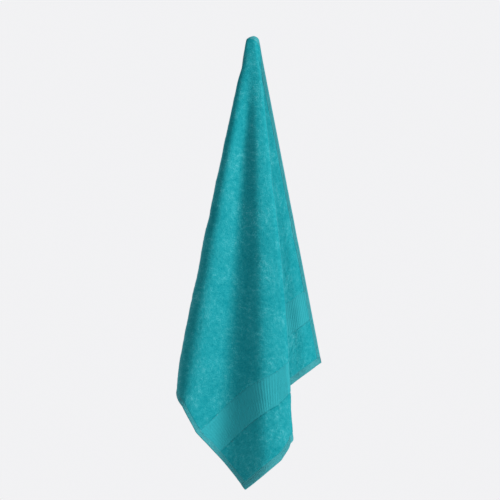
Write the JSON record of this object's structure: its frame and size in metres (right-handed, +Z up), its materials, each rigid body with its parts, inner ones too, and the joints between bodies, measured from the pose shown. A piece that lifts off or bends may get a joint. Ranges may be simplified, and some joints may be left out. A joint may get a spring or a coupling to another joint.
{
  "type": "bath towel",
  "caption": "Terry bath towel hanging in folds over a wall peg by a point on its long side, with a flat woven band across each end and stitched hems all round.",
  "frame": {"origin": "the spot on the underside of the cloth that rests on top of the wall peg", "axes": "+Z up, +Y toward the wall, -Y toward the front, +X to the right as seen from the front"},
  "size_m": [0.3138, 0.1459, 0.9764],
  "materials": {
    "terry": "looped cotton pile, matt",
    "woven_band": "flat woven cotton with fine ribs, slight sheen",
    "hem": "turned and stitched cotton",
    "label": "blank satin tape"
  },
  "bodies": {
    "root": {"centre_terry": "terry", "front_woven_band": "woven_band", "front_end_terry": "terry", "front_end_hem": "hem", "back_woven_band": "woven_band", "back_end_terry": "terry", "back_end_hem": "hem", "near_side_hem": "hem", "far_side_hem": "hem", "care_label": "label"}
  },
  "joints": []
}
